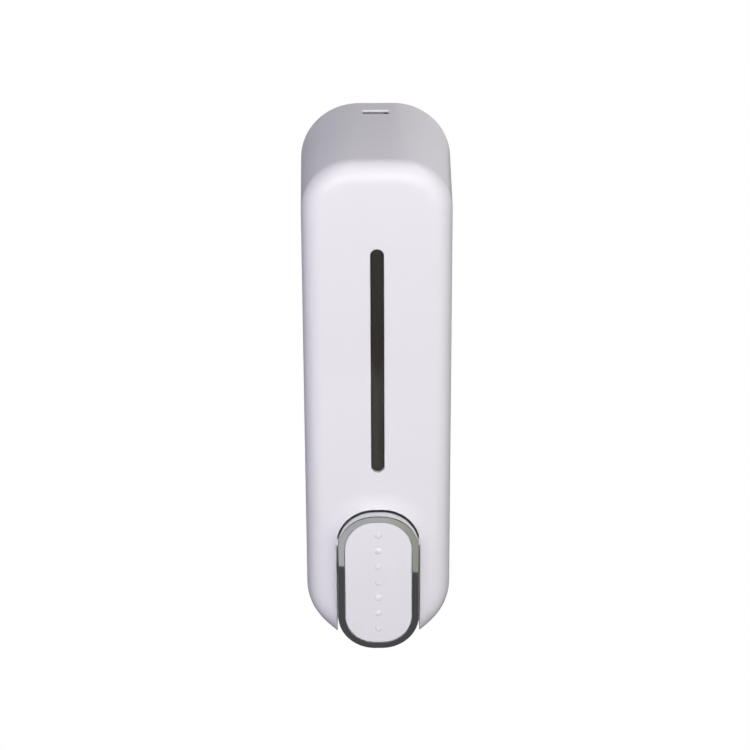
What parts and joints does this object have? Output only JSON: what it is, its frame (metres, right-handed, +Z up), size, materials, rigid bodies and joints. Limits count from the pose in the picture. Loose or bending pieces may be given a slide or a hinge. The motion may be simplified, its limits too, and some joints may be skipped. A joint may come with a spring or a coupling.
{
  "type": "wall mounted soap dispenser",
  "caption": "Slim wall mounted dispenser for liquid soap: hinged white cover with a level window, chromed push button, removable tank and piston pump behind it.",
  "frame": {"origin": "centre of the back plate's rear face, on the wall, at half the height of the casing", "axes": "+Y into the wall, +Z up, +X to the right of someone who faces the dispenser"},
  "size_m": [0.0684, 0.0873, 0.2418],
  "materials": {
    "gloss_white_abs": "moulded ABS, high gloss, cool white",
    "matt_white_abs": "moulded ABS, fine satin texture, off white",
    "chromed_abs": "bright decorative chrome plate on ABS",
    "smoked_lens": "smoked polycarbonate, nearly black",
    "clear_polypropylene": "natural polypropylene, milky and translucent",
    "grey_acetal": "moulded acetal, satin grey",
    "silicone": "moulded silicone, dull translucent grey",
    "stainless_steel": "drawn stainless wire and turned stainless screws"
  },
  "bodies": {
    "wall_unit": {"back_plate": "matt_white_abs", "hinge_pin": "stainless_steel", "latch_keeper": "matt_white_abs", "soap_tank": "clear_polypropylene", "outlet_seal": "silicone", "pump_barrel": "grey_acetal", "pump_gland": "grey_acetal", "inlet_valve": "silicone", "outlet_valve": "silicone", "spout": "grey_acetal", "nozzle_tip": "silicone", "return_spring": "stainless_steel", "latch_spring": "stainless_steel", "pump_screw_left": "stainless_steel", "pump_screw_right": "stainless_steel", "keeper_screw_left": "stainless_steel", "keeper_screw_right": "stainless_steel"},
    "cover": {"front_cover": "gloss_white_abs", "window_lens": "smoked_lens", "lens_frame": "matt_white_abs", "button_guide": "matt_white_abs", "lens_screw_1": "stainless_steel", "lens_screw_2": "stainless_steel", "guide_screw_1": "stainless_steel", "guide_screw_2": "stainless_steel", "guide_screw_3": "stainless_steel", "guide_screw_4": "stainless_steel"},
    "button": {"button_bezel": "chromed_abs", "button_pad": "gloss_white_abs", "button_carrier": "grey_acetal", "carrier_screw_1": "stainless_steel", "carrier_screw_2": "stainless_steel"},
    "plunger": {"plunger": "matt_white_abs", "piston_seal": "silicone"},
    "latch": {"latch_tongue": "matt_white_abs"},
    "lid": {"tank_lid": "clear_polypropylene", "lid_seal": "silicone"}
  },
  "joints": [
    {"name": "cover_swing", "type": "hinge", "parent": "wall_unit", "child": "cover", "pos_m": [0, -0.008, -0.1152], "axis": [1, 0, 0], "range_deg": [0, 80]},
    {"name": "button_press", "type": "slide", "parent": "cover", "child": "button", "axis": [0, 1, 0], "range_m": [0, 0.008], "stiffness_N_per_m": 400, "springref_m": -0.004},
    {"name": "plunger_slide", "type": "slide", "parent": "wall_unit", "child": "plunger", "axis": [0, 1, 0], "range_m": [0, 0.008], "stiffness_N_per_m": 400, "springref_m": -0.004, "deforming": ["return_spring"]},
    {"name": "latch_press", "type": "slide", "parent": "wall_unit", "child": "latch", "axis": [0, 0, -1], "range_m": [0, 0.003], "stiffness_N_per_m": 500, "springref_m": -0.002, "deforming": ["latch_spring"]},
    {"name": "lid_lift", "type": "slide", "parent": "wall_unit", "child": "lid", "axis": [0, 0, 1], "range_m": [0, 0.009]}
  ],
  "couplings": [
    {"joint": "plunger_slide", "follows": "button_press", "ratio": 1}
  ]
}
